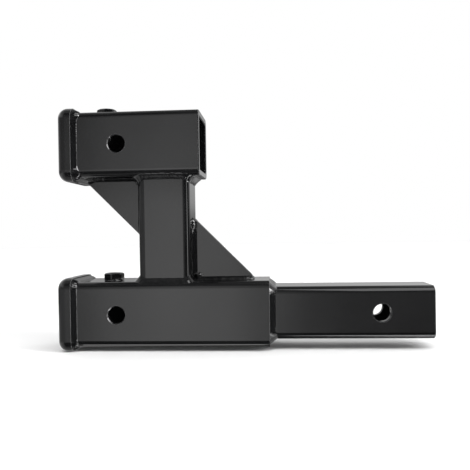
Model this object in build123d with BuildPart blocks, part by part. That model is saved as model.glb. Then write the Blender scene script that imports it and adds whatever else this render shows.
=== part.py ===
"""Raised dual hitch receiver extender, a welded assembly of square steel tube.

Millimetres. The origin is the centre of the shank's pin hole. +X runs along the
shank towards the end that enters the vehicle's receiver, and +Z is up.
"""

import os
from math import sqrt

from build123d import *

os.makedirs("parts", exist_ok=True)

# Driving dimensions: square sections
shank_size = 50.8
shank_wall = 6.35
post_size = 50.8
post_wall = 6.35
bar_corner = 6.75
bar_bore_corner = 3.0
socket_clearance = 0.4
receiver_wall = 5.95
receiver_corner = 6.75
socket_corner = 2.5

# Driving dimensions: lengths and places along the extender
shank_exposed = 156.8
shank_insert = 54.0
shank_pin_setback = 50.0
lower_receiver_length = 206.7
upper_receiver_length = 138.7
upper_mouth_setback = 2.5
receiver_rise = 166.3
post_from_mouth = 104.8
lower_pin_from_mouth = 58.1
upper_pin_from_mouth = 58.1
lower_nut_from_mouth = 48.3
upper_nut_from_mouth = 40.9

# Driving dimensions: collars
collar_depth = 14.4
collar_step = 4.25
collar_heel = 2.4
mouth_land = 0.4
mouth_lead = 0.8

# Driving dimensions: pin holes and sawn edges
pin_hole_diameter = 16.7
pin_hole_break = 0.8
sawn_edge_break = 0.8

# Driving dimensions: gussets
gusset_thickness = 6.35
lower_gusset_leg = 59.5
upper_gusset_gap = 0.8
gusset_tip = 4.0
gusset_snipe = 10.5

# Driving dimensions: weld nuts for the anti-rattle bolts
nut_across_flats = 18.0
nut_height = 7.2
nut_bore_diameter = 10.2
nut_face_radius = 8.4
nut_chamfer_rate = 0.62
nut_turn = 26.0
bolt_hole_diameter = 13.0

# Driving dimensions: weld beads
collar_bead_run = 5.3
collar_bead_margin = 0.9
shank_bead_run = 5.6
shank_bead_margin = 0.5
bead_crown = 0.4
bead_toe = 0.25
post_bead_spread = 6.4
post_bead_height = 8.2
post_bead_flank = 3.2
post_bead_groove = 2.45
post_bead_sag = 0.6
upper_tip_wrap = 0.5
lower_tip_wrap = 3.0
tube_bead_foot = 4.2
tube_bead_rise = 3.2
post_side_bead_foot = 4.2
post_side_bead_rise = 4.8
tack_radius = 4.4
tack_height = 2.6
tack_slope = 35.0

# Share of a corner's radius that a straight cut along its tangent takes off each side
tangent_cut = 2 - sqrt(2)

# Sizes that follow
socket_size = shank_size + 2 * socket_clearance
receiver_size = socket_size + 2 * receiver_wall
collar_size = receiver_size + 2 * collar_step
collar_corner = receiver_corner + collar_step
collar_wall = receiver_wall + collar_step
collar_nose = min(collar_wall - mouth_land - mouth_lead, collar_depth - collar_heel)

shank_end = shank_pin_setback
receiver_end = shank_end - shank_exposed
shank_start = receiver_end - shank_insert
lower_mouth = receiver_end - lower_receiver_length
upper_mouth = lower_mouth + upper_mouth_setback
upper_receiver_end = upper_mouth + upper_receiver_length
post_x = lower_mouth + post_from_mouth
post_left = post_x - post_size / 2
post_right = post_x + post_size / 2
lower_top = receiver_size / 2
upper_bottom = receiver_rise - receiver_size / 2
upper_top = receiver_rise + receiver_size / 2
upper_gusset_leg = post_left - upper_mouth - collar_depth - collar_bead_run - upper_gusset_gap
lower_nut_x = lower_mouth + lower_nut_from_mouth
upper_nut_x = upper_mouth + upper_nut_from_mouth


def section_plane(x, z):
    """Plane across the extender at x, with its origin on the axis at height z."""
    return Plane(origin=(x, 0, z), x_dir=(0, 1, 0), z_dir=(1, 0, 0))


def square_section(size, corner, bore, bore_corner):
    """Hollow square section with rounded corners, for the sketch in hand."""
    RectangleRounded(size, size, corner)
    RectangleRounded(bore, bore, bore_corner, mode=Mode.SUBTRACT)


def side_hole_rims(part, x, z, width):
    """Rims of the cross hole at x, z on the two side faces of a square tube."""
    near = part.edges().filter_by(GeomType.CIRCLE).filter_by(
        lambda rim: abs(abs(rim.arc_center.Y) - width / 2) < 1e-3
    )
    return near.filter_by(
        lambda rim: abs(rim.arc_center.X - x) + abs(rim.arc_center.Z - z) < 1e-3
    )


def receiver_tube(start, end, z, pin_x, nut_x, end_break=0):
    """Receiver tube with its cross hole for the pin and the bolt hole in its top."""
    with BuildPart() as tube:
        with BuildSketch(section_plane(start, z)):
            square_section(receiver_size, receiver_corner, socket_size, socket_corner)
        extrude(amount=end - start)
        with BuildSketch(Plane(origin=(pin_x, 0, z), x_dir=(1, 0, 0), z_dir=(0, -1, 0))):
            Circle(pin_hole_diameter / 2)
        extrude(amount=receiver_size, both=True, mode=Mode.SUBTRACT)
        with BuildSketch(Plane.XY.offset(z)):
            with Locations((nut_x, 0)):
                Circle(bolt_hole_diameter / 2)
        extrude(amount=receiver_size, mode=Mode.SUBTRACT)
        chamfer(side_hole_rims(tube, pin_x, z, receiver_size), pin_hole_break)
        if end_break:
            chamfer(tube.faces().sort_by(Axis.X)[-1].edges(), end_break)
    return tube


def collar(mouth, z):
    """Square ring butted to the tube's mouth, its outer front edge a full bullnose."""
    with BuildPart() as ring:
        with BuildSketch(section_plane(mouth, z)):
            square_section(collar_size, collar_corner, socket_size, socket_corner)
        extrude(amount=collar_depth)
        front = ring.faces().sort_by(Axis.X)[0]
        outer_rim = front.outer_wire().edges()
        inner_rim = front.inner_wires()[0].edges()
        fillet(outer_rim, collar_nose)
        chamfer(inner_rim, mouth_lead)
    return ring


def ring_bead(plane, size, corner, spread, run):
    """Fillet weld round a square section: spread outwards, run along the section."""
    levels = (
        (0, spread), (bead_toe, spread), (run / 2 + bead_crown, spread / 2 + bead_crown), (run, bead_toe),
    )
    with BuildPart() as bead:
        for height, grow in levels:
            with BuildSketch(plane.offset(height)) as outline:
                Rectangle(size + 2 * grow, size + 2 * grow)
                chamfer(outline.vertices(), tangent_cut * (corner + grow))
        loft(ruled=True)
        with BuildSketch(plane):
            RectangleRounded(size, size, corner)
        extrude(amount=run, mode=Mode.SUBTRACT)
    return bead


def post_skirt(tube, surface):
    """Weld round the post: a fillet on the tube's flat, a flare on its rounded edges."""
    half = post_size / 2
    side_rate = post_bead_spread / post_bead_height
    # the toe is where the tube's rounded edge has dropped by the groove's depth
    toe_drop = receiver_corner - post_bead_groove
    toe_reach = sqrt(receiver_corner**2 - toe_drop**2)
    toe_flare = receiver_size / 2 - receiver_corner + toe_reach - half
    # the flank leaves the rounded edge along its tangent, then runs up to the post
    flat_flare = toe_flare - post_bead_groove * toe_drop / toe_reach
    flank_rate = flat_flare / post_bead_flank
    levels = (
        (-post_bead_groove, 0, toe_flare),
        (0, 0, flat_flare),
        (post_bead_flank, post_bead_sag, 0),
        (post_bead_height, 0, (post_bead_flank - post_bead_height) * flank_rate),
    )
    with BuildPart() as skirt:
        for height, sag, flare in levels:
            side = half + bead_toe + (post_bead_height - max(height, 0)) * side_rate - sag
            flank = half + bead_toe + flare
            with BuildSketch(surface.offset(height)) as outline:
                Rectangle(2 * side, 2 * flank)
                chamfer(outline.vertices(), tangent_cut * bar_corner)
        loft(ruled=True)
        with BuildSketch(surface.offset(-2 * post_bead_groove)):
            RectangleRounded(post_size, post_size, bar_corner)
        extrude(amount=4 * post_bead_height, mode=Mode.SUBTRACT)
        add(tube.part, mode=Mode.SUBTRACT)
    return skirt


def gusset(corner_x, corner_z, side, leg):
    """Right-angled plate with blunt tips, its square corner cut to clear the skirt."""
    plane = Plane(origin=(corner_x, 0, corner_z), x_dir=(side, 0, 0), z_dir=(0, -1, 0))
    with BuildPart() as plate:
        with BuildSketch(plane):
            with BuildLine():
                Polyline(
                    (gusset_snipe, 0), (leg, 0), (leg, gusset_tip),
                    (gusset_tip, leg), (0, leg), (0, gusset_snipe),
                    close=True,
                )
            make_face()
        extrude(amount=gusset_thickness / 2, both=True)
    return plate


def leg_bead(surface, leg, wrap, foot, rise, plate, neighbours):
    """Fillet weld along one leg of a gusset, on both sides and round the tip."""
    half = gusset_thickness / 2
    with BuildPart() as bead:
        with BuildSketch(surface):
            with BuildLine():
                Polyline(
                    (0, -half - foot), (leg - foot, -half - foot), (leg + wrap, -half),
                    (leg + wrap, half), (leg - foot, half + foot), (0, half + foot),
                    close=True,
                )
            make_face()
        with BuildSketch(surface.offset(rise)):
            with BuildLine():
                Polyline(
                    (0, -half - bead_toe), (leg - foot, -half - bead_toe), (leg + bead_toe, -half),
                    (leg + bead_toe, half), (leg - foot, half + bead_toe), (0, half + bead_toe),
                    close=True,
                )
            make_face()
        loft(ruled=True)
        add(plate.part, mode=Mode.SUBTRACT)
        for neighbour in neighbours:
            add(neighbour.part, mode=Mode.SUBTRACT)
    return bead


def weld_nut(x, z):
    """Hexagon nut with a chamfered top and its bore, standing on the tube."""
    plane = Plane(origin=(x, 0, z))
    corner_radius = nut_across_flats / sqrt(3)
    flat_radius = nut_across_flats / 2
    with BuildPart() as nut:
        with BuildSketch(plane):
            RegularPolygon(flat_radius, 6, major_radius=False, rotation=nut_turn)
        extrude(amount=nut_height)
        with BuildSketch(Plane(origin=(x, 0, z + nut_height), x_dir=(1, 0, 0), z_dir=(0, -1, 0))):
            with BuildLine():
                Polyline(
                    (nut_face_radius, 0), (2 * corner_radius, 0),
                    (2 * corner_radius, (nut_face_radius - 2 * corner_radius) * nut_chamfer_rate),
                    close=True,
                )
            make_face()
        revolve(axis=Axis((x, 0, z), (0, 0, 1)), mode=Mode.SUBTRACT)
        with Locations(plane.offset(nut_height)):
            Hole(nut_bore_diameter / 2, nut_height)
    return nut


def nut_tacks(x, z):
    """Two tack welds at opposite corners of a nut, seated on the tube."""
    plane = Plane(origin=(x, 0, z))
    with BuildPart() as tacks:
        with BuildSketch(plane):
            with PolarLocations(nut_across_flats / sqrt(3), 2, start_angle=nut_turn - 60):
                RegularPolygon(tack_radius, 8)
        extrude(amount=tack_height, taper=tack_slope)
        with BuildSketch(plane):
            RegularPolygon(nut_across_flats / 2, 6, major_radius=False, rotation=nut_turn)
        extrude(amount=nut_height, mode=Mode.SUBTRACT)
    return tacks


# Shank: the bar that enters the vehicle's receiver
with BuildPart() as shank:
    with BuildSketch(section_plane(shank_start, 0)):
        square_section(shank_size, bar_corner, shank_size - 2 * shank_wall, bar_bore_corner)
    extrude(amount=shank_end - shank_start)
    with BuildSketch(Plane.XZ):
        Circle(pin_hole_diameter / 2)
    extrude(amount=shank_size, both=True, mode=Mode.SUBTRACT)
    chamfer(side_hole_rims(shank, 0, 0, shank_size), pin_hole_break)
    chamfer(shank.faces().sort_by(Axis.X)[-1].outer_wire().edges(), sawn_edge_break)

# Receivers: tube and collar, lower and upper
lower_receiver_tube = receiver_tube(
    lower_mouth + collar_depth, receiver_end, 0, lower_mouth + lower_pin_from_mouth, lower_nut_x
)
lower_receiver_collar = collar(lower_mouth, 0)
upper_receiver_tube = receiver_tube(
    upper_mouth + collar_depth, upper_receiver_end, receiver_rise,
    upper_mouth + upper_pin_from_mouth, upper_nut_x, sawn_edge_break,
)
upper_receiver_collar = collar(upper_mouth, receiver_rise)

# Riser post: stands on the lower tube and carries the upper one
with BuildPart() as riser_post:
    with BuildSketch(Plane(origin=(post_x, 0, lower_top))):
        square_section(post_size, bar_corner, post_size - 2 * post_wall, bar_bore_corner)
    extrude(amount=upper_bottom - lower_top)

# Gussets at mid-width, one on each side of the post
upper_gusset = gusset(post_left, upper_bottom, -1, upper_gusset_leg)
lower_gusset = gusset(post_right, lower_top, 1, lower_gusset_leg)

# Weld nuts
lower_weld_nut = weld_nut(lower_nut_x, lower_top)
upper_weld_nut = weld_nut(upper_nut_x, upper_top)
lower_nut_weld = nut_tacks(lower_nut_x, lower_top)
upper_nut_weld = nut_tacks(upper_nut_x, upper_top)

# Welds round the tubes
shank_weld = ring_bead(
    section_plane(receiver_end, 0), shank_size, bar_corner,
    receiver_size / 2 - shank_size / 2 - shank_bead_margin, shank_bead_run,
)
lower_collar_weld = ring_bead(
    section_plane(lower_mouth + collar_depth, 0), receiver_size, receiver_corner,
    collar_step - collar_bead_margin, collar_bead_run,
)
upper_collar_weld = ring_bead(
    section_plane(upper_mouth + collar_depth, receiver_rise), receiver_size, receiver_corner,
    collar_step - collar_bead_margin, collar_bead_run,
)

# Welds round the post's two ends
foot_plane = Plane(origin=(post_x, 0, lower_top), x_dir=(1, 0, 0), z_dir=(0, 0, 1))
head_plane = Plane(origin=(post_x, 0, upper_bottom), x_dir=(1, 0, 0), z_dir=(0, 0, -1))
post_foot_weld = post_skirt(lower_receiver_tube, foot_plane)
post_head_weld = post_skirt(upper_receiver_tube, head_plane)

# Welds along the gussets' legs
upper_gusset_tube_weld = leg_bead(
    Plane(origin=(post_left, 0, upper_bottom), x_dir=(-1, 0, 0), z_dir=(0, 0, -1)),
    upper_gusset_leg, upper_tip_wrap, tube_bead_foot, tube_bead_rise,
    upper_gusset, [post_head_weld],
)
upper_gusset_post_weld = leg_bead(
    Plane(origin=(post_left, 0, upper_bottom), x_dir=(0, 0, -1), z_dir=(-1, 0, 0)),
    upper_gusset_leg, lower_tip_wrap, post_side_bead_foot, post_side_bead_rise,
    upper_gusset, [post_head_weld, upper_gusset_tube_weld],
)
lower_gusset_tube_weld = leg_bead(
    Plane(origin=(post_right, 0, lower_top), x_dir=(1, 0, 0), z_dir=(0, 0, 1)),
    lower_gusset_leg, lower_tip_wrap, tube_bead_foot, tube_bead_rise,
    lower_gusset, [post_foot_weld],
)
lower_gusset_post_weld = leg_bead(
    Plane(origin=(post_right, 0, lower_top), x_dir=(0, 0, 1), z_dir=(1, 0, 0)),
    lower_gusset_leg, lower_tip_wrap, post_side_bead_foot, post_side_bead_rise,
    lower_gusset, [post_foot_weld, lower_gusset_tube_weld],
)

# Each piece is written to a file of its own
pieces = {
    "shank": shank,
    "lower_receiver_tube": lower_receiver_tube,
    "lower_receiver_collar": lower_receiver_collar,
    "upper_receiver_tube": upper_receiver_tube,
    "upper_receiver_collar": upper_receiver_collar,
    "riser_post": riser_post,
    "upper_gusset": upper_gusset,
    "lower_gusset": lower_gusset,
    "lower_weld_nut": lower_weld_nut,
    "upper_weld_nut": upper_weld_nut,
    "shank_weld": shank_weld,
    "lower_collar_weld": lower_collar_weld,
    "upper_collar_weld": upper_collar_weld,
    "post_foot_weld": post_foot_weld,
    "post_head_weld": post_head_weld,
    "upper_gusset_tube_weld": upper_gusset_tube_weld,
    "upper_gusset_post_weld": upper_gusset_post_weld,
    "lower_gusset_tube_weld": lower_gusset_tube_weld,
    "lower_gusset_post_weld": lower_gusset_post_weld,
    "lower_nut_weld": lower_nut_weld,
    "upper_nut_weld": upper_nut_weld,
}
for name, piece in pieces.items():
    piece.part.label = name
    export_step(piece.part, f"parts/{name}.step")
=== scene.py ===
"""Raised dual hitch receiver extender: gloss black coat, weld beads, weld nuts and studio.

Metres, in the frame of the packed model: +X along the shank, +Z up, and the origin at
the centre of the shank's pin hole.
"""

import math
import random
from bisect import bisect_right

import bmesh
import bpy
from bpy.props import FloatProperty, FloatVectorProperty, IntProperty, PointerProperty
from mathutils import Matrix, Vector, noise


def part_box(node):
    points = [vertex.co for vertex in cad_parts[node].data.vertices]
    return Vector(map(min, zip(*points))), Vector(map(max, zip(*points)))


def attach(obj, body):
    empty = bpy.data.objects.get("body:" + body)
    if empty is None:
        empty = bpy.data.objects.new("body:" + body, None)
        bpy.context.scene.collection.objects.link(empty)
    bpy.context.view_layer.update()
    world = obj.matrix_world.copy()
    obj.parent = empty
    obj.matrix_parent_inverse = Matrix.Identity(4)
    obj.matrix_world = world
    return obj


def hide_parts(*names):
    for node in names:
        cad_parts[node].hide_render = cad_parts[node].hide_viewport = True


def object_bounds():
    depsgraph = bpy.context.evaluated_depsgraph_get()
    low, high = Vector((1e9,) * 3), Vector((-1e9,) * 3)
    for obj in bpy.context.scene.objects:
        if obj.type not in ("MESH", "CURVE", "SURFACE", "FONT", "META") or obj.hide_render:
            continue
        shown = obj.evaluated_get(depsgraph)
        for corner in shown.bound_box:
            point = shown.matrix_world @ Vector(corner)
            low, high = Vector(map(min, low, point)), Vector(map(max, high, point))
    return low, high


bl_info = {
    "name": "Hitch Receiver Extender",
    "version": (1, 0, 0),
    "blender": (4, 5, 0),
    "location": "View3D > Sidebar > Extender",
    "description": "Dresses a welded dual receiver extender: coat, beads, nuts and studio",
    "category": "Object",
}

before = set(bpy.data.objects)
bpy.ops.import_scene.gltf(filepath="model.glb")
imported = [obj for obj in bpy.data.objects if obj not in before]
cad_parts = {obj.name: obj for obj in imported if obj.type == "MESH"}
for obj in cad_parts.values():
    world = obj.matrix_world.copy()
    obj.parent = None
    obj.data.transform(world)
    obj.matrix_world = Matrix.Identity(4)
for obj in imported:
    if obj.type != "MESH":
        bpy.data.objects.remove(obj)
CAD_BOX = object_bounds()
MM = 0.001
RIGHT = Vector((1, 0, 0))
BACK = Vector((0, 1, 0))
UP = Vector((0, 0, 1))


# Sizes read from the packed model

def span(node, axis):
    """Lowest and highest coordinate of a node along an axis."""
    low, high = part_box(node)
    return low[axis], high[axis]


def breadth(node, axis):
    """Size of a node along an axis."""
    low, high = span(node, axis)
    return high - low


SHANK_HALF = breadth("shank", 1) / 2
TUBE_HALF = breadth("lower_receiver_tube", 1) / 2
TUBE_TOP = span("lower_receiver_tube", 2)[1]
UPPER_BOTTOM, UPPER_TOP = span("upper_receiver_tube", 2)
UPPER_AXIS = (UPPER_BOTTOM + UPPER_TOP) / 2
POST_LEFT, POST_RIGHT = span("riser_post", 0)
PLATE_HALF = span("lower_gusset", 1)[1]
# Outer corner radius of every square tube
BAR_CORNER = 6.75 * MM


# Settings that a user would change

class CoatSettings(bpy.types.PropertyGroup):
    """The gloss black powder coat on all steel."""

    color: FloatVectorProperty(
        name="Coat color", description="Color of the powder coat", subtype="COLOR",
        size=3, default=(0.0045, 0.0046, 0.0049), min=0, max=1,
    )
    roughness: FloatProperty(
        name="Roughness", description="How far the coat blurs what it mirrors",
        subtype="FACTOR", default=0.07, min=0, max=1,
    )
    # Painted highlight: a light color mixed into the coat along sharp edges, standing for the
    # bright lines the gloss shows there
    edge_highlight_color: FloatVectorProperty(
        name="Edge color", description="Color of the thin coat on sharp edges",
        subtype="COLOR", size=3, default=(0.2, 0.2, 0.203), min=0, max=1,
    )
    # Width of the painted highlight along sharp edges
    edge_width: FloatProperty(
        name="Edge width", description="How far the thin coat reaches from a sharp edge",
        subtype="DISTANCE", default=0.7 * MM, min=0.05 * MM, max=5 * MM,
    )
    peel_size: FloatProperty(
        name="Orange peel size", description="Width of one dimple of the orange peel",
        subtype="DISTANCE", default=2.2 * MM, min=0.2 * MM, max=10 * MM,
    )
    peel_depth: FloatProperty(
        name="Orange peel depth", description="Depth of the orange peel's dimples",
        subtype="DISTANCE", default=0.012 * MM, min=0, max=0.2 * MM,
    )


class WeldSettings(bpy.types.PropertyGroup):
    """The weld beads under the coat."""

    ripple_pitch: FloatProperty(
        name="Ripple pitch", description="Distance between two ripples of a bead",
        subtype="DISTANCE", default=2.6 * MM, min=0.5 * MM, max=10 * MM,
    )
    ripple_height: FloatProperty(
        name="Ripple height", description="Height of one ripple above the bead",
        subtype="DISTANCE", default=0.22 * MM, min=0, max=1 * MM,
    )
    lump_height: FloatProperty(
        name="Lump height", description="Height of the swells where a bead starts or stops",
        subtype="DISTANCE", default=0.75 * MM, min=0, max=3 * MM,
    )
    corner_radius: FloatProperty(
        name="Corner lump", description="Radius of the lump in each gusset's sniped corner",
        subtype="DISTANCE", default=4.6 * MM, min=1 * MM, max=8 * MM,
    )
    seed: IntProperty(
        name="Seed", description="Another number gives other ripples and lumps",
        default=7, min=0,
    )


class PlateSettings(bpy.types.PropertyGroup):
    """The gusset plates."""

    edge_round: FloatProperty(
        name="Edge rounding", description="Radius of the coated plate's edges",
        subtype="DISTANCE", default=0.4 * MM, min=0.05 * MM, max=2 * MM,
    )


class NutSettings(bpy.types.PropertyGroup):
    """The weld nuts for the anti-rattle bolts."""

    across_flats: FloatProperty(
        name="Across flats", description="Width of the hexagon from flat to flat",
        subtype="DISTANCE", default=18 * MM, min=12 * MM, max=30 * MM,
    )
    face_radius: FloatProperty(
        name="Face radius", description="Radius of the flat ring on top, inside the chamfer",
        subtype="DISTANCE", default=8.4 * MM, min=6 * MM, max=15 * MM,
    )
    turn: FloatProperty(
        name="Turn", description="How far the hexagon is turned on the tube",
        subtype="ANGLE", default=math.radians(26),
    )
    thread_pitch: FloatProperty(
        name="Thread pitch", description="Distance between two turns of the thread",
        subtype="DISTANCE", default=1.75 * MM, min=0.5 * MM, max=3 * MM,
    )
    thread_depth: FloatProperty(
        name="Thread depth", description="Depth of the thread's groove",
        subtype="DISTANCE", default=0.9 * MM, min=0.1 * MM, max=2 * MM,
    )
    edge_round: FloatProperty(
        name="Edge rounding", description="How much the hexagon's corners are rounded off",
        subtype="DISTANCE", default=0.35 * MM, min=0, max=2 * MM,
    )


class StudioSettings(bpy.types.PropertyGroup):
    """Floor, light and camera."""

    floor_color: FloatVectorProperty(
        name="Floor color", description="Color of the floor", subtype="COLOR",
        size=3, default=(0.90, 0.90, 0.90), min=0, max=1,
    )
    walls: FloatProperty(
        name="Walls", description="Brightness of the studio's walls in the gloss",
        default=1.0, min=0, max=10,
    )
    daylight: FloatProperty(
        name="Daylight", description="Strength of the broad light from above",
        default=1.6, min=0, max=100,
    )
    softbox: FloatProperty(
        name="Softbox", description="Brightness of the softbox and the lit strips of table",
        default=1.0, min=0, max=100,
    )
    camera_place: FloatVectorProperty(
        name="Camera place", description="Where the camera stands", subtype="TRANSLATION",
        size=3, default=(-0.10063, -0.59106, 0.08027),
    )
    camera_yaw: FloatProperty(
        name="Camera yaw", description="Turn of the camera to the left", subtype="ANGLE",
        default=-0.0681,
    )
    camera_pitch: FloatProperty(
        name="Camera pitch", description="Downward tilt of the camera", subtype="ANGLE",
        default=0.0075,
    )
    camera_roll: FloatProperty(
        name="Camera roll", description="Roll of the camera", subtype="ANGLE",
        default=-0.0151,
    )
    camera_lens: FloatProperty(
        name="Lens", description="Focal length in millimetres on a 36 mm sensor",
        default=45.0, min=10, max=300,
    )


SETTINGS = {
    "extender_coat": CoatSettings,
    "extender_weld": WeldSettings,
    "extender_plate": PlateSettings,
    "extender_nut": NutSettings,
    "extender_studio": StudioSettings,
}


# The studio that the gloss mirrors

# Brightness of the walls: (degrees from the camera's side towards +X, brightness)
WALLS = (
    (-180, 0.55), (-172, 0.5), (-165, 0.38), (-148, 0.9), (-125, 0.9), (-108, 0.5),
    (-60, 0.52), (-25, 0.6), (-21, 0.62), (-19.5, 0.85), (-15, 1.5), (-10, 1.75), (-5, 1.6),
    (-1, 1.08), (4, 0.55), (8, 0.33), (16, 0.26), (33, 0.06), (63, 0.06), (66, 3.4),
    (75, 3.4), (79, 0.03), (106, 0.03), (118, 0.9), (148, 0.9), (160, 0.65), (180, 0.55),
)
# Share of it on the front and back walls: (degrees above the horizon, share)
FRONT_HEIGHTS = (
    (-90, 0.08), (-23, 0.08), (-13, 0.97), (-3, 1.0), (2, 0.95), (6, 0.68), (12, 0.58),
    (28, 0.5), (50, 0.1), (75, 0.15), (90, 0.35),
)
BACK_HEIGHTS = (
    (-90, 0.06), (-50, 0.06), (-25, 0.15), (-9, 1.0), (-6, 0.2), (0.5, 0.35), (3.2, 0.95),
    (5.6, 1.15), (9, 1.0), (25, 1.0), (50, 0.3), (75, 0.3), (90, 0.35),
)
# Where the back wall's heights hold: (share of a turn, share)
REAR_SHARE = ((0, 1), (0.2, 1), (0.3, 0), (0.7, 0), (0.8, 1), (1, 1))
# Light from both sides, above and below the part
SIDES = (
    (-180, 0), (-165, 0), (-150, 0.8), (-60, 0.8), (-30, 0), (40, 0), (60, 0.9), (150, 0.9),
    (165, 0), (180, 0),
)
SIDE_HEIGHTS = (
    (-90, 0.5), (-20, 1.0), (-11, 0), (12, 0), (25, 1.0), (60, 0.6), (80, 0.1), (90, 0),
)
# Bright upright box at the right, high and low, for the rims of the holes and the beads
SIDE_BOX = ((-180, 0), (61, 0), (64, 9), (77, 9), (80, 0), (180, 0))
SIDE_BOX_HEIGHTS = (
    (-90, 0.4), (-75, 1), (-46, 1), (-40, 0), (9, 0), (14, 1), (45, 1), (55, 0), (90, 0),
)

# Lit strips of table: (left, right, front and back edge in mm)
STRIPS = ((-291, -108, -32.5, -29.2), (-104, 70, -34, -30))
STRIP_LIFT = 0.2 * MM
# Their light: (place along the shank in metres, brightness), and the brightness for 1
STRIP_LIGHT = (
    (-0.32, 0.5), (-0.2, 0.6), (-0.12, 0.6), (-0.1, 0.1), (-0.07, 0.7), (-0.03, 1.2),
    (0.06, 1.7),
)
STRIP_GAIN = 5
# The ramp's place for x is STRIP_SHIFT + x / STRIP_SPAN
STRIP_SHIFT = 0.85
STRIP_SPAN = 0.4

# Broad lights: name, share of the daylight, and width and tilt in degrees
SUNS = (("front_light", 0.70, 30, 35), ("back_light", 0.47, 80, -36))
SUN_LEAN = -6
# Softbox in front, aimed at the origin: place, width and height in metres, and brightness
SOFTBOX_PLACE = Vector((0.28, -0.555, 0.85))
SOFTBOX_SIZE = (0.75, 0.62)
SOFTBOX_LIGHT = 2.8
FLOOR_RADIUS = 4


# Materials

# Noise in the materials, in bumps to a metre: gloss, the painted edge highlight, and paper
CLOUDS = 22
PATCHES = 130
FIBRES = 6
# Shares of the coat's roughness and color between which the clouds change it
GLOSS_RANGE = (0.85, 1.2)
TONE_RANGE = (0.8, 1.3)
# Cosine of an edge's turn where the painted edge highlight is full, and those where it begins
EDGE_HIGHLIGHT_FULL = 0.82
EDGE_HIGHLIGHT_START = (0.94, 0.985)


def fill(tree, node, inputs):
    """Sets a node's inputs to numbers and colors, or wires them to other nodes' sockets."""
    for key, value in inputs.items():
        if isinstance(value, bpy.types.NodeSocket):
            tree.links.new(value, node.inputs[key])
        else:
            node.inputs[key].default_value = value


def add_node(tree, kind, inputs=None, **settings):
    """New shader node with its settings and inputs."""
    node = tree.nodes.new("ShaderNode" + kind)
    for name, value in settings.items():
        setattr(node, name, value)
    fill(tree, node, inputs or {})
    return node


def black_coat(name, coat, peel=1.0, ior=1.5, edge=1.0):
    """Gloss black powder coat: orange peel, changes in gloss and a painted highlight on sharp
    edges.

    peel and edge are shares of the orange peel's depth and of the painted edge highlight's color.
    """
    found = bpy.data.materials.get(name)
    if found:
        return found
    material = bpy.data.materials.new(name)
    material.use_nodes = True
    tree = material.node_tree
    place = add_node(tree, "TexCoord").outputs["Object"]
    cloud = add_node(tree, "TexNoise", {"Vector": place, "Scale": CLOUDS, "Detail": 4})
    gloss = add_node(tree, "MapRange", {
        "Value": cloud.outputs["Fac"], "From Min": 0.3, "From Max": 0.7,
        "To Min": coat.roughness * GLOSS_RANGE[0], "To Max": coat.roughness * GLOSS_RANGE[1],
    })
    tone = add_node(tree, "ValToRGB", {"Fac": cloud.outputs["Fac"]})
    for mark, position, share in zip(tone.color_ramp.elements, (0.35, 0.7), TONE_RANGE):
        mark.position = position
        mark.color = (*(Vector(coat.color) * share), 1)
    # Painted highlight: mixes a light color into the coat along sharp edges, standing for the
    # gloss's bright edge lines
    highlighted = add_node(tree, "Mix", {
        "Factor": edge_highlight_mask(tree, place, coat.edge_width),
        "A": tone.outputs["Color"],
        "B": (*(Vector(coat.edge_highlight_color) * edge), 1),
    }, data_type="RGBA")
    dimples = add_node(tree, "TexNoise", {
        "Vector": place, "Scale": 1 / coat.peel_size, "Detail": 2, "Roughness": 0.4,
    })
    bump = add_node(tree, "Bump", {
        "Height": dimples.outputs["Fac"], "Strength": 1, "Distance": coat.peel_depth * peel,
    })
    fill(tree, tree.nodes["Principled BSDF"], {
        "IOR": ior,
        "Base Color": highlighted.outputs["Result"],
        "Roughness": gloss.outputs["Result"],
        "Normal": bump.outputs["Normal"],
    })
    return material


def edge_highlight_mask(tree, place, width):
    """Mask of the painted edge highlight: 1 on sharp edges, a little uneven, and 0 away from them.
    """
    rounded = add_node(tree, "Bevel", {"Radius": width}, samples=6)
    flat = add_node(tree, "NewGeometry")
    turn = add_node(
        tree, "VectorMath", {0: rounded.outputs["Normal"], 1: flat.outputs["Normal"]},
        operation="DOT_PRODUCT",
    )
    patchy = add_node(tree, "TexNoise", {"Vector": place, "Scale": PATCHES})
    limit = add_node(tree, "MapRange", {
        "Value": patchy.outputs["Fac"], "To Min": EDGE_HIGHLIGHT_START[0], "To Max": EDGE_HIGHLIGHT_START[1],
    })
    share = add_node(tree, "MapRange", {
        "Value": turn.outputs["Value"], "From Min": EDGE_HIGHLIGHT_FULL,
        "From Max": limit.outputs["Result"], "To Min": 1, "To Max": 0,
    }, interpolation_type="SMOOTHSTEP")
    return share.outputs["Result"]


def bead_coat(context):
    """Coat of the welds: less orange peel, more gloss and hardly any painted edge highlight."""
    coat = context.scene.extender_coat
    return black_coat("gloss_black_bead", coat, peel=0.7, ior=1.65, edge=0.1)


def pale_floor(studio):
    """Matt paper floor."""
    material = bpy.data.materials.new("pale_floor")
    material.use_nodes = True
    tree = material.node_tree
    place = add_node(tree, "TexCoord").outputs["Object"]
    fibre = add_node(tree, "TexNoise", {"Vector": place, "Scale": FIBRES})
    tone = add_node(tree, "ValToRGB", {"Fac": fibre.outputs["Fac"]})
    for mark, share in zip(tone.color_ramp.elements, (0.99, 1)):
        mark.color = (*(Vector(studio.floor_color) * share), 1)
    fill(tree, tree.nodes["Principled BSDF"], {
        "Base Color": tone.outputs["Color"], "Roughness": 0.9, "Specular IOR Level": 0.1,
    })
    return material


def math_node(tree, operation, *values):
    """Result of a math node over sockets and numbers."""
    return add_node(tree, "Math", dict(enumerate(values)), operation=operation).outputs[0]


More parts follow.
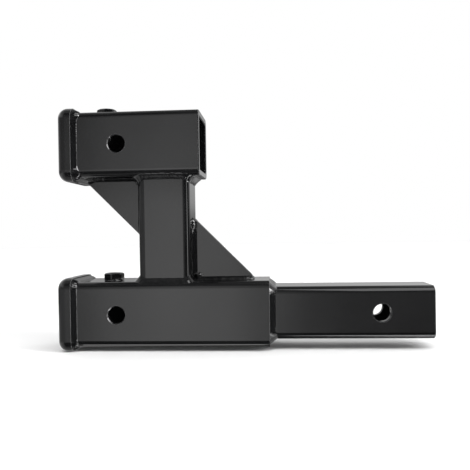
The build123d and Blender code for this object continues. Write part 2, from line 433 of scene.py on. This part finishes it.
def grey_ramp(tree, source, stops):
    """Soft ramp over stops of (position, brightness), which gives half the brightness."""
    node = add_node(tree, "ValToRGB", {"Fac": source})
    node.color_ramp.interpolation = "EASE"
    marks = node.color_ramp.elements
    while len(marks) < len(stops):
        marks.new(1)
    for mark, (position, _) in zip(marks, stops):
        mark.position = position
    for mark, (_, value) in zip(marks, stops):
        mark.color = (value / 2, value / 2, value / 2, 1)
    return node.outputs["Color"]


def turn_ramp(tree, around, stops):
    """Ramp round the studio, over stops of (degrees, brightness)."""
    return grey_ramp(tree, around, [(0.5 + a / 360, v) for a, v in stops])


def height_ramp(tree, height, stops):
    """Ramp up the walls, over stops of (degrees above the horizon, share)."""
    stops = [(0.5 + 0.5 * math.sin(math.radians(e)), v) for e, v in stops]
    return grey_ramp(tree, height, stops)


# Meshes

def smooth(low, high, value):
    """0 below low, 1 above high, and a soft step between."""
    t = min(max((value - low) / (high - low), 0), 1)
    return t * t * (3 - 2 * t)


def mix(a, b, t):
    """Value between a and b."""
    return a + (b - a) * t


def add_piece(name, verts, faces, material, replaced, sharp=40):
    """New piece from a mesh, riding on the extender and standing for a CAD node.

    sharp is the angle in degrees above which an edge isn't shaded smooth.
    """
    mesh = bpy.data.meshes.new(name)
    mesh.from_pydata(verts, [], faces)
    work = bmesh.new()
    work.from_mesh(mesh)
    bmesh.ops.recalc_face_normals(work, faces=work.faces)
    work.to_mesh(mesh)
    work.free()
    mesh.materials.append(material)
    for polygon in mesh.polygons:
        polygon.use_smooth = True
    mesh.set_sharp_from_angle(angle=math.radians(sharp))
    piece = bpy.data.objects.new(name, mesh)
    bpy.context.scene.collection.objects.link(piece)
    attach(piece, "root")
    if replaced:
        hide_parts(replaced)
    return piece


def skin_of(work):
    """Vertices and faces of a bmesh, which it frees."""
    work.verts.index_update()
    verts = [v.co.copy() for v in work.verts]
    faces = [tuple(v.index for v in f.verts) for f in work.faces]
    work.free()
    return verts, faces


def keep_flat(piece, least):
    """Shades each face above the least area flat, and rounds only the small faces beside it."""
    mesh = piece.data
    largest = {}
    for polygon in mesh.polygons:
        for vertex in polygon.vertices:
            if polygon.area > max(least, largest.get(vertex, (0, None))[0]):
                largest[vertex] = (polygon.area, polygon.normal.copy())
    normals = []
    for vertex in mesh.vertices:
        normals.append(largest.get(vertex.index, (0, vertex.normal))[1])
    mesh.normals_split_custom_set_from_vertices(normals)


def rows_to_mesh(rows, closed):
    """Vertices and faces of a closed skin over cross rows."""
    width = len(rows[0])
    verts = [v for row in rows for v in row]
    faces = []
    last = len(rows) if closed else len(rows) - 1
    for i in range(last):
        j = (i + 1) % len(rows)
        for k in range(width):
            m = (k + 1) % width
            faces.append((i * width + k, i * width + m, j * width + m, j * width + k))
    if not closed:
        faces.append(tuple(range(width)))
        faces.append(tuple((len(rows) - 1) * width + k for k in range(width)))
    return verts, faces


# Weld beads: a path is a list of (point, outward, distance, how near a corner from 0 to 1)

# Places across a bead, from its outer edge to its top
BEAD_STEPS = (0, 0.05, 0.14, 0.25, 0.37, 0.5, 0.62, 0.72, 0.79, 0.81, 0.87, 0.94, 1)
# Share of a bead that a steep edge takes: the lip at its top and the heel at its outer edge
LIP_SHARE = 0.2
HEEL_SHARE = 0.1
# Length of a bead's tapered end, and the share of its size at the very end
TAPER = 4.5 * MM
END_SIZE = 0.1
# How its two legs wander: length of a wave, and share of the leg
CLIMB_WAVE, CLIMB_WANDER = 7 * MM, 0.09
REACH_WAVE, REACH_WANDER = 4.5 * MM, 0.10
# Ripples: the shares of their pitch and height that each one is drawn from, how far they bow
# in the middle of a bead, as a share of the pitch, and the share of their height at corners
PITCH_RANGE = (0.75, 1.3)
GAIN_RANGE = (0.6, 1.35)
RIPPLE_BOW = 0.55
CORNER_RIPPLES = 1.5
# How deep a bead's hidden back lies in the steel, and its edges, which slip outwards a little
SUNK = 0.3 * MM
TUCK = 0.25 * MM
SLIP = 0.05 * MM
# Fine grain of the weld metal: bumps in a metre and their height
GRAIN = 900
GRAIN_HEIGHT = 0.05 * MM
# Distances between a bead's cross rows, round a tube and along a plate
RING_STEP = 0.45 * MM
PLATE_STEP = 0.4 * MM
# Where a path comes near a corner: shares of a tube's half width, and of a plate's length
CORNER_NEAR = (0.66, 0.9)
TIP_NEAR = (0.72, 0.95)


def rounded_square(center, across, along, half, corner, step):
    """Path round a square with rounded corners."""
    flat = 2 * (half - corner)
    arc = math.pi * corner / 2
    total = 4 * (flat + arc)
    count = round(total / step)
    path = []
    for i in range(count):
        s = total * i / count
        side, rest = divmod(s, flat + arc)
        if rest < flat:
            local = Vector((rest - flat / 2, -half))
            out = Vector((0, -1))
        else:
            angle = (rest - flat) / corner
            out = Vector((math.sin(angle), -math.cos(angle)))
            local = Vector((half - corner, corner - half)) + out * corner
        turned = Matrix.Rotation(side * math.pi / 2, 2)
        local, out = turned @ local, turned @ out
        point = center + across * local.x + along * local.y
        outward = across * out.x + along * out.y
        near = min(abs(local.x), abs(local.y)) / half
        path.append((point, outward, s, smooth(*CORNER_NEAR, near)))
    return path


def plate_outline(start, ahead, across, half, length, corner, step):
    """Path along one side of a plate, round its end and back along the other side."""
    run = length - corner
    arc = math.pi * corner / 2
    flat = 2 * (half - corner)
    total = 2 * run + 2 * arc + flat
    count = round(total / step)
    path = []
    for i in range(count + 1):
        s = total * i / count
        mirror, rest = 1, s
        if s > total / 2:
            mirror, rest = -1, total - s
        if rest < run:
            local, out = Vector((rest, half)), Vector((0, 1))
        elif rest < run + arc:
            angle = (rest - run) / corner
            out = Vector((math.sin(angle), math.cos(angle)))
            local = Vector((run, half - corner)) + out * corner
        else:
            local = Vector((length, half - corner - (rest - run - arc)))
            out = Vector((1, 0))
        point = start + ahead * local.x + across * (local.y * mirror)
        outward = ahead * out.x + across * (out.y * mirror)
        near = smooth(run * TIP_NEAR[0], run * TIP_NEAR[1], rest)
        path.append((point, outward, s, near))
    return path


def tube_seat(axis_z, half, corner, side):
    """Function that drops a point onto a tube's rounded edge; side is +1 above, -1 below."""
    def seat(point):
        over = abs(point.y) - (half - corner)
        if over <= 0:
            return point
        height = half - corner + math.sqrt(max(corner**2 - over**2, 0))
        return Vector((point.x, point.y, axis_z + side * height))
    return seat


def ripples(total, pitch, rng):
    """Function that gives the share of a ripple's height at a place along a bead."""
    edges = [0.0]
    while edges[-1] < total + pitch:
        edges.append(edges[-1] + pitch * rng.uniform(*PITCH_RANGE))
    gains = [rng.uniform(*GAIN_RANGE) for _ in edges]

    def scallop(place):
        i = min(bisect_right(edges, place) - 1, len(edges) - 2)
        share = (place - edges[i]) / (edges[i + 1] - edges[i])
        return math.sqrt(max(1 - (2 * share**0.8 - 1) ** 2, 0)) * gains[i]
    return scallop


def bead_rows(path, up, reach, climb, crown, weld, seed, closed, seat=None, lip=0.0,
              calm=0.35, heel=0.0):
    """Cross rows of a weld bead laid along a path.

    reach gives its leg outwards from the path, climb its leg along up, and crown its
    bulge, from (outward, how near a corner). seat drops the outer edge on to a rounded
    tube. lip and heel are the heights of steep edges at the top and at the outer edge,
    and calm is the share of the ripples that is left between the corners.
    """
    total = path[-1][2] + (path[1][2] - path[0][2]) * closed
    scallop = ripples(total, weld.ripple_pitch, random.Random(seed))
    spot = Vector((seed * 3.7, seed * 1.3, 0))
    rows = []
    for point, out, s, near in path:
        end = 1.0
        if not closed:
            end = min(min(s, total - s) / TAPER, 1)
            end = mix(END_SIZE, 1, math.sqrt(1 - (1 - end) ** 2))
        swell = noise.noise(spot + Vector((s / CLIMB_WAVE, 0, 0)))
        wander = noise.noise(spot + Vector((0, s / REACH_WAVE, 5)))
        unsteady = min(mix(3 * calm, 1, near), 1)
        foot = reach(out, near) * end * (1 + REACH_WANDER * wander * unsteady)
        rise = climb(out, near) * end * (1 + CLIMB_WANDER * swell * unsteady)
        toe = point + out * foot
        if seat:
            toe = seat(toe)
        top = point + up * rise
        chord = top - toe
        normal = (out * (rise + (point - toe).dot(up)) + up * foot).normalized()
        bulge = crown(out, near) * end
        lump = weld.lump_height * near * max(swell + 0.15, 0) * end
        strength = weld.ripple_height * mix(calm, CORNER_RIPPLES, near) * end
        row = [point - out * SUNK - up * SUNK, toe - up * TUCK - out * SLIP]
        for t in BEAD_STEPS:
            arch = 4 * t * (1 - t)
            place = s - RIPPLE_BOW * weld.ripple_pitch * arch
            place = place % total if closed else max(place, 0)
            lift = (bulge + lump) * arch + strength * scallop(place) * (0.25 + 0.75 * arch)
            lift += lip * end * t * min((1 - t) / LIP_SHARE, 1)
            lift += heel * end * (1 - t) * min(t / HEEL_SHARE, 1)
            grain = noise.noise((toe + chord * t) * GRAIN + spot) * GRAIN_HEIGHT
            row.append(toe + chord * t + normal * (lift + grain * end))
        row.append(top - out * TUCK + up * SLIP)
        rows.append(row)
    return rows


def add_bead(context, name, runs, closed):
    """New weld piece from the cross rows of its runs, standing for a CAD node."""
    verts, faces = [], []
    for rows in runs:
        more, skin = rows_to_mesh(rows, closed)
        faces += [tuple(k + len(verts) for k in face) for face in skin]
        verts += more
    add_piece(name + "_bead", verts, faces, bead_coat(context), name)


# Operators, one for each group of pieces

class EXTENDER_OT_coat_steel(bpy.types.Operator):
    """Coats the shank, the receivers, their collars and the post in gloss black."""

    bl_idname = "extender.coat_steel"
    bl_label = "Coat Steel"

    def execute(self, context):
        material = black_coat("gloss_black_coat", context.scene.extender_coat)
        for name in (
            "shank", "lower_receiver_tube", "upper_receiver_tube", "riser_post",
            "lower_receiver_collar", "upper_receiver_collar",
        ):
            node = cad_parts[name]
            node.data.materials.clear()
            node.data.materials.append(material)
        return {"FINISHED"}


class EXTENDER_OT_build_gussets(bpy.types.Operator):
    """Builds the two gusset plates with softly rounded edges."""

    bl_idname = "extender.build_gussets"
    bl_label = "Build Gussets"

    # Area from which a face is shaded flat
    flat_area = 15 * MM**2

    def execute(self, context):
        round_off = context.scene.extender_plate.edge_round
        material = black_coat("gloss_black_plate", context.scene.extender_coat, peel=1.2)
        for name in ("upper_gusset", "lower_gusset"):
            work = bmesh.new()
            work.from_mesh(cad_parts[name].data)
            bmesh.ops.remove_doubles(work, verts=work.verts, dist=0.001 * MM)
            bmesh.ops.dissolve_limit(
                work, angle_limit=math.radians(2), verts=work.verts, edges=work.edges
            )
            bmesh.ops.bevel(
                work, geom=work.edges[:], offset=round_off, segments=4, profile=0.5,
                affect="EDGES", clamp_overlap=True,
            )
            verts, faces = skin_of(work)
            piece = add_piece(
                name + "_plate", verts, faces, material, name, sharp=180
            )
            keep_flat(piece, self.flat_area)
        return {"FINISHED"}


class EXTENDER_OT_build_weld_nuts(bpy.types.Operator):
    """Builds the two chamfered hexagon weld nuts with their threads."""

    bl_idname = "extender.build_weld_nuts"
    bl_label = "Build Weld Nuts"

    # Columns round the nut and rows to a turn of its thread
    around = 144
    thread_rows = 8
    # The thread's inner radius, its start below the face, the countersink's rim beyond the
    # thread, and the chamfer's fall for 1 outwards
    bore = 5.1 * MM
    lead_in = 0.35 * MM
    sink = 0.25 * MM
    chamfer = 0.62

    def execute(self, context):
        nut = context.scene.extender_nut
        material = black_coat("gloss_black_nut", context.scene.extender_coat, peel=0.8)
        for name in ("lower_weld_nut", "upper_weld_nut"):
            low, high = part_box(name)
            center = Vector(((low.x + high.x) / 2, 0, low.z))
            verts, faces = self.nut_mesh(center, high.z - low.z, nut)
            add_piece(name + "_threaded", verts, faces, material, name, sharp=28)
        return {"FINISHED"}

    def nut_mesh(self, center, height, nut):
        """Hexagon, chamfered face, countersink and helical thread as one skin."""
        corner = nut.across_flats / math.sqrt(3) - nut.edge_round
        pitch, depth = nut.thread_pitch, nut.thread_depth
        rim = self.bore + depth + self.sink
        rows = int(height / (pitch / self.thread_rows))
        thread_top = height - self.lead_in
        columns = []
        for i in range(self.around):
            angle = 2 * math.pi * i / self.around
            facet = (angle - nut.turn) % (math.pi / 3) - math.pi / 6
            radius = min(nut.across_flats / 2 / math.cos(facet), corner)
            shoulder = height - self.chamfer * max(radius - nut.face_radius, 0)
            column = [
                (radius, 0.0), (radius, shoulder), (nut.face_radius, height), (rim, height),
            ]
            for k in range(rows + 1):
                z = thread_top - thread_top * k / rows
                share = (z / pitch - angle / (2 * math.pi)) % 1
                # Sloping sides, and a flat bottom a fifth of the pitch wide
                groove = min(max(1.25 - 2.5 * abs(share - 0.5), 0), 1)
                sunk = max(rim - (height - z), self.bore)
                column.append((max(self.bore + depth * (1 - groove), sunk), z))
            columns.append([
                center + Vector((r * math.cos(angle), r * math.sin(angle), z)) for r, z in column
            ])
        return rows_to_mesh(columns, True)


class EXTENDER_OT_build_ring_welds(bpy.types.Operator):
    """Lays the beads round the shank and behind both collars."""

    bl_idname = "extender.build_ring_welds"
    bl_label = "Build Ring Welds"

    # Node, its tube's height and half width, and in mm: leg outwards, leg along the tube,
    # what that gains at the corners, and the height of its steep edge
    rings = (
        ("shank_weld", 0.0, SHANK_HALF, 5.2, 5.95, 1.0, 0),
        ("lower_collar_weld", 0.0, TUBE_HALF, 3.2, 5.4, 0.5, 0.32),
        ("upper_collar_weld", UPPER_AXIS, TUBE_HALF, 3.2, 5.4, 2.2, 0.32),
    )

    def execute(self, context):
        weld = context.scene.extender_weld
        for order, (name, z, half, reach, climb, extra, lip) in enumerate(self.rings):
            center = Vector((span(name, 0)[0], 0, z))
            rows = bead_rows(
                rounded_square(center, BACK, UP, half, BAR_CORNER, RING_STEP), RIGHT,
                lambda out, near: reach * MM,
                lambda out, near: (climb + extra * near) * MM,
                lambda out, near: 0,
                weld, weld.seed + order, True, lip=lip * MM, calm=0,
            )
            add_bead(context, name, [rows], True)
        return {"FINISHED"}


class EXTENDER_OT_build_post_welds(bpy.types.Operator):
    """Lays the beads round the post's foot and head, down onto the tubes' edges."""

    bl_idname = "extender.build_post_welds"
    bl_label = "Build Post Welds"

    # Node, height, +1 above or -1 below the tube, the tube's height, and in mm: leg up the
    # post's left and right sides, and the height of the steep edge on the tube
    ends = (
        ("post_foot_weld", TUBE_TOP, 1, 0.0, 5.6, 0.0),
        ("post_head_weld", UPPER_BOTTOM, -1, UPPER_AXIS, 7.0, 0.7),
    )
    # In mm, at the post's front and back and at its left and right: leg on the tube, bulge
    reaches = (4.8, 6.2)
    bulges = (0.25, -1.0)
    # In mm: leg up the post's front and back, and what a leg gains at the corners
    front = 3.3
    extra = 0.8

    def execute(self, context):
        weld = context.scene.extender_weld
        middle = (POST_LEFT + POST_RIGHT) / 2
        half = (POST_RIGHT - POST_LEFT) / 2
        for order, (name, z, side, axis_z, flank, heel) in enumerate(self.ends):
            center = Vector((middle, 0, z))
            rows = bead_rows(
                rounded_square(center, RIGHT, BACK, half, BAR_CORNER, RING_STEP), UP * side,
                lambda out, near: mix(*self.reaches, out.x**2) * MM,
                lambda out, near: (mix(self.front, flank, out.x**2) + self.extra * near) * MM,
                lambda out, near: mix(*self.bulges, out.x**2) * MM,
                weld, weld.seed + 10 + order, True,
                tube_seat(axis_z, TUBE_HALF, BAR_CORNER, side), heel=heel * MM,
            )
            add_bead(context, name, [rows], True)
        return {"FINISHED"}


class EXTENDER_OT_build_gusset_welds(bpy.types.Operator):
    """Lays the beads along both legs of both gussets."""

    bl_idname = "extender.build_gusset_welds"
    bl_label = "Build Gusset Welds"

    # Node, gusset, corner, way along the weld, way up the gusset, and in mm: leg on the tube
    # or post, and leg up the gusset. Then the share of the first leg that is left at the
    # tip, and that of the ripples
    legs = (
        ("upper_gusset_tube_weld", "upper_gusset", (POST_LEFT, 0, UPPER_BOTTOM), -RIGHT, -UP,
         3.9, 3.0, 0.2, 0.35),
        ("upper_gusset_post_weld", "upper_gusset", (POST_LEFT, 0, UPPER_BOTTOM), -UP, -RIGHT,
         4.0, 4.6, 0.6, 0.35),
        ("lower_gusset_tube_weld", "lower_gusset", (POST_RIGHT, 0, TUBE_TOP), RIGHT, UP,
         3.9, 3.0, 0.6, 0.35),
        ("lower_gusset_post_weld", "lower_gusset", (POST_RIGHT, 0, TUBE_TOP), UP, RIGHT,
         4.7, 4.4, 0.6, 0.02),
    )
    # Where the weld starts from the corner, its turn's radius at the tip, and its bulge
    start = 2.5 * MM
    corner = 1.2 * MM
    bulge = 0.3 * MM

    def execute(self, context):
        weld = context.scene.extender_weld
        for order, leg in enumerate(self.legs):
            name, gusset, place, ahead, rise, reach, climb, wrap, calm = leg
            path = plate_outline(
                Vector(place) + ahead * self.start, ahead, BACK, PLATE_HALF,
                breadth(gusset, 0) - self.start, self.corner, PLATE_STEP,
            )
            steady = self.bulge * min(3 * calm, 1)
            rows = bead_rows(
                path, rise,
                lambda out, near: mix(reach, reach * wrap, abs(out.dot(ahead))) * MM,
                lambda out, near: climb * MM,
                lambda out, near: mix(steady, self.bulge, near),
                weld, weld.seed + 20 + order, False, calm=calm,
            )
            add_bead(context, name, [rows], False)
        return {"FINISHED"}


class EXTENDER_OT_fill_gusset_corners(bpy.types.Operator):
    """Puts a lump of weld into the sniped corner of each gusset."""

    bl_idname = "extender.fill_gusset_corners"
    bl_label = "Fill Gusset Corners"

    # Gusset, its corner, and the lump's place from there in mm
    corners = (
        ("upper", Vector((POST_LEFT, 0, UPPER_BOTTOM)), Vector((-3.6, 0, -3.2))),
        ("lower", Vector((POST_RIGHT, 0, TUBE_TOP)), Vector((6.5, 0, 3.6))),
    )
    # Length, width and height of a lump, and its noise: bumps in a radius, share of it
    shape = Vector((1, 1.25, 0.9))
    lumps = ((1.7, 0.22), (5, 0.05))

    def execute(self, context):
        weld = context.scene.extender_weld
        for order, (level, corner, off) in enumerate(self.corners):
            spot = Vector((weld.seed + 40 + order, 0, 0))
            work = bmesh.new()
            bmesh.ops.create_icosphere(work, subdivisions=5, radius=1)
            for vertex in work.verts:
                out = vertex.co.copy()
                swell = sum(noise.noise(out * k + spot) * share for k, share in self.lumps)
                vertex.co = corner + off * MM + out * self.shape * weld.corner_radius * (1 + swell)
            verts, faces = skin_of(work)
            name = level + "_gusset_corner_fill"
            add_piece(name, verts, faces, bead_coat(context), None)
        return {"FINISHED"}


class EXTENDER_OT_build_nut_welds(bpy.types.Operator):
    """Lays two short tacks at opposite corners of each weld nut."""

    bl_idname = "extender.build_nut_welds"
    bl_label = "Build Nut Welds"

    # Angle from the nut's turn back to the first tack, a tack's sweep, and its cross rows
    lag = math.radians(76)
    sweep = math.radians(78)
    steps = 40
    # Leg on the tube, leg up the nut, bulge, and how far the path cuts the nut's corner
    reach = 3.6 * MM
    climb = 2.5 * MM
    bulge = 0.4 * MM
    cut = 0.8 * MM
    # How near a corner all of a tack counts, which sets its ripples and lumps
    near = 0.6

    def execute(self, context):
        weld = context.scene.extender_weld
        nut = context.scene.extender_nut
        for order, level in enumerate(("lower", "upper")):
            low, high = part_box(level + "_weld_nut")
            center = Vector(((low.x + high.x) / 2, 0, low.z))
            runs = []
            for side in (0, 1):
                runs.append(bead_rows(
                    self.tack_path(center, nut, nut.turn - self.lag + side * math.pi), UP,
                    lambda out, near: self.reach,
                    lambda out, near: self.climb,
                    lambda out, near: self.bulge,
                    weld, weld.seed + 30 + 2 * order + side, False,
                ))
            add_bead(context, level + "_nut_weld", runs, False)
        return {"FINISHED"}

    def tack_path(self, center, nut, angle):
        """Path round one corner of the nut, a few millimetres along both its flats."""
        radius = nut.across_flats / math.sqrt(3) - self.cut
        path = []
        for i in range(self.steps + 1):
            share = i / self.steps
            at = angle + self.sweep * (share - 0.5)
            facet = (at - nut.turn) % (math.pi / 3) - math.pi / 6
            reach = min(nut.across_flats / 2 / math.cos(facet), radius)
            out = Vector((math.cos(at), math.sin(at), 0))
            path.append((center + out * reach, out, reach * self.sweep * share, self.near))
        return path


class EXTENDER_OT_build_studio(bpy.types.Operator):
    """Sets the floor, the soft light and the camera."""

    bl_idname = "extender.build_studio"
    bl_label = "Build Studio"

    def execute(self, context):
        studio = context.scene.extender_studio
        self.lay_floor(context, studio)
        self.light_walls(context, studio)
        self.hang_lights(context, studio)
        self.light_table(context, studio)
        self.place_camera(context, studio)
        return {"FINISHED"}

    def add(self, context, name, data):
        """New object in the scene."""
        thing = bpy.data.objects.new(name, data)
        context.scene.collection.objects.link(thing)
        return thing

    def lay_floor(self, context, studio):
        """Wide disc under the lower collar's lowest line."""
        mesh = bpy.data.meshes.new("studio_floor")
        work = bmesh.new()
        bmesh.ops.create_circle(work, cap_ends=True, segments=96, radius=FLOOR_RADIUS)
        bmesh.ops.translate(work, verts=work.verts, vec=(0, 0, CAD_BOX[0][2]))
        work.to_mesh(mesh)
        work.free()
        mesh.materials.append(pale_floor(studio))
        floor = self.add(context, "studio_floor", mesh)
        floor.visible_glossy = False
        floor.visible_shadow = False

    def light_walls(self, context, studio):
        """Studio walls: white behind the part, and brighter and darker walls in its gloss."""
        world = bpy.data.worlds.new("studio_walls")
        world.use_nodes = True
        tree = world.node_tree
        toward = add_node(tree, "SeparateXYZ", {
            "Vector": add_node(tree, "TexCoord").outputs["Generated"],
        })
        away = math_node(tree, "MULTIPLY", toward.outputs["Y"], -1)
        turn = math_node(tree, "ARCTAN2", toward.outputs["X"], away)
        around = math_node(tree, "MULTIPLY_ADD", turn, 1 / (2 * math.pi), 0.5)
        height = math_node(tree, "MULTIPLY_ADD", toward.outputs["Z"], 0.5, 0.5)
        share = add_node(tree, "Mix", {
            "Factor": math_node(tree, "MULTIPLY", grey_ramp(tree, around, REAR_SHARE), 2),
            "A": height_ramp(tree, height, FRONT_HEIGHTS),
            "B": height_ramp(tree, height, BACK_HEIGHTS),
        })
        walls = turn_ramp(tree, around, WALLS)
        light = math_node(tree, "MULTIPLY", walls, share.outputs["Result"])
        for turns, heights in ((SIDES, SIDE_HEIGHTS), (SIDE_BOX, SIDE_BOX_HEIGHTS)):
            more = turn_ramp(tree, around, turns)
            part = height_ramp(tree, height, heights)
            light = math_node(tree, "MULTIPLY_ADD", more, part, light)
        # Each product is of two ramps, which give half their values
        light = math_node(tree, "MULTIPLY", light, 4 * studio.walls)
        ray = add_node(tree, "LightPath").outputs["Is Camera Ray"]
        fill(tree, tree.nodes["Background"], {
            "Strength": math_node(tree, "MAXIMUM", light, ray), "Color": (1, 1, 1, 1),
        })
        context.scene.world = world

    def hang_lights(self, context, studio):
        """Broad daylight over the floor, and a softbox that the gloss mirrors."""
        for name, share, width, tilt in SUNS:
            data = bpy.data.lights.new(name, "SUN")
            data.energy = studio.daylight * share
            data.angle = math.radians(width)
            light = self.add(context, name, data)
            light.rotation_euler = (math.radians(tilt), math.radians(SUN_LEAN), 0)
            light.visible_glossy = False
        data = bpy.data.lights.new("top_softbox", "AREA")
        data.shape = "RECTANGLE"
        data.size, data.size_y = SOFTBOX_SIZE
        data.energy = SOFTBOX_LIGHT * studio.softbox * math.pi * data.size * data.size_y
        light = self.add(context, "top_softbox", data)
        light.location = SOFTBOX_PLACE
        light.rotation_euler = SOFTBOX_PLACE.to_track_quat("Z", "X").to_euler()

    def light_table(self, context, studio):
        """Lit strips of table in front, seen only in the gloss of the lower edges."""
        height = CAD_BOX[0][2] + STRIP_LIFT
        verts, faces = [], []
        for left, right, near, far in STRIPS:
            faces.append(tuple(range(len(verts), len(verts) + 4)))
            corners = ((left, near), (right, near), (right, far), (left, far))
            verts += [(x * MM, y * MM, height) for x, y in corners]
        mesh = bpy.data.meshes.new("table_strip")
        mesh.from_pydata(verts, [], faces)
        material = bpy.data.materials.new("table_strip")
        material.use_nodes = True
        tree = material.node_tree
        tree.nodes.remove(tree.nodes["Principled BSDF"])
        parts = add_node(tree, "SeparateXYZ", {
            "Vector": add_node(tree, "TexCoord").outputs["Object"],
        })
        place = math_node(
            tree, "MULTIPLY_ADD", parts.outputs["X"], 1 / STRIP_SPAN, STRIP_SHIFT
        )
        stops = [(STRIP_SHIFT + x / STRIP_SPAN, v) for x, v in STRIP_LIGHT]
        light = grey_ramp(tree, place, stops)
        glow = add_node(tree, "Emission", {
            "Strength": math_node(tree, "MULTIPLY", light, 2 * STRIP_GAIN * studio.softbox),
        })
        fill(tree, tree.nodes["Material Output"], {"Surface": glow.outputs[0]})
        mesh.materials.append(material)
        strip = self.add(context, "table_strip", mesh)
        for kind in ("camera", "diffuse", "shadow", "transmission", "volume_scatter"):
            setattr(strip, "visible_" + kind, False)

    def place_camera(self, context, studio):
        """Camera at the photograph's place and angle."""
        # Rows: the world's directions to the camera's right, down and ahead, before turning
        level = Matrix(((1, 0, 0), (0, 0, -1), (0, 1, 0)))
        roll = Matrix.Rotation(studio.camera_roll, 3, "Z")
        pitch = Matrix.Rotation(studio.camera_pitch, 3, "X")
        yaw = Matrix.Rotation(-studio.camera_yaw, 3, "Y")
        view = roll @ pitch @ yaw @ level
        data = bpy.data.cameras.new("studio_camera")
        data.lens = studio.camera_lens
        data.sensor_width = 36
        data.clip_start = 0.01
        camera = self.add(context, "studio_camera", data)
        turn = Matrix((view[0], -view[1], -view[2])).transposed()
        camera.matrix_world = Matrix.Translation(studio.camera_place) @ turn.to_4x4()
        bpy.context.scene.camera = camera


OPERATORS = (
    EXTENDER_OT_coat_steel,
    EXTENDER_OT_build_gussets,
    EXTENDER_OT_build_weld_nuts,
    EXTENDER_OT_build_ring_welds,
    EXTENDER_OT_build_post_welds,
    EXTENDER_OT_build_gusset_welds,
    EXTENDER_OT_fill_gusset_corners,
    EXTENDER_OT_build_nut_welds,
    EXTENDER_OT_build_studio,
)


class EXTENDER_PT_panel(bpy.types.Panel):
    """Settings and steps of the extender, in the 3D view's sidebar."""

    bl_label = "Hitch Receiver Extender"
    bl_idname = "EXTENDER_PT_panel"
    bl_space_type = "VIEW_3D"
    bl_region_type = "UI"
    bl_category = "Extender"

    def draw(self, context):
        for name, group in SETTINGS.items():
            box = self.layout.box()
            box.label(text=group.__doc__)
            for field in group.__annotations__:
                box.prop(getattr(context.scene, name), field)
        for operator in OPERATORS:
            self.layout.operator(operator.bl_idname)


def register():
    """Registers the settings, the operators and the panel."""
    for name, group in SETTINGS.items():
        bpy.utils.register_class(group)
        setattr(bpy.types.Scene, name, PointerProperty(type=group))
    for operator in OPERATORS:
        bpy.utils.register_class(operator)
    bpy.utils.register_class(EXTENDER_PT_panel)


def unregister():
    """Takes everything back that register added."""
    bpy.utils.unregister_class(EXTENDER_PT_panel)
    for operator in reversed(OPERATORS):
        bpy.utils.unregister_class(operator)
    for name, group in reversed(SETTINGS.items()):
        delattr(bpy.types.Scene, name)
        bpy.utils.unregister_class(group)


def main():
    register()
    bpy.context.scene.view_settings.view_transform = "Standard"
    bpy.ops.extender.coat_steel()
    bpy.ops.extender.build_gussets()
    bpy.ops.extender.build_weld_nuts()
    bpy.ops.extender.build_ring_welds()
    bpy.ops.extender.build_post_welds()
    bpy.ops.extender.build_gusset_welds()
    bpy.ops.extender.fill_gusset_corners()
    bpy.ops.extender.build_nut_welds()
    bpy.ops.extender.build_studio()


if __name__ == "__main__":
    main()
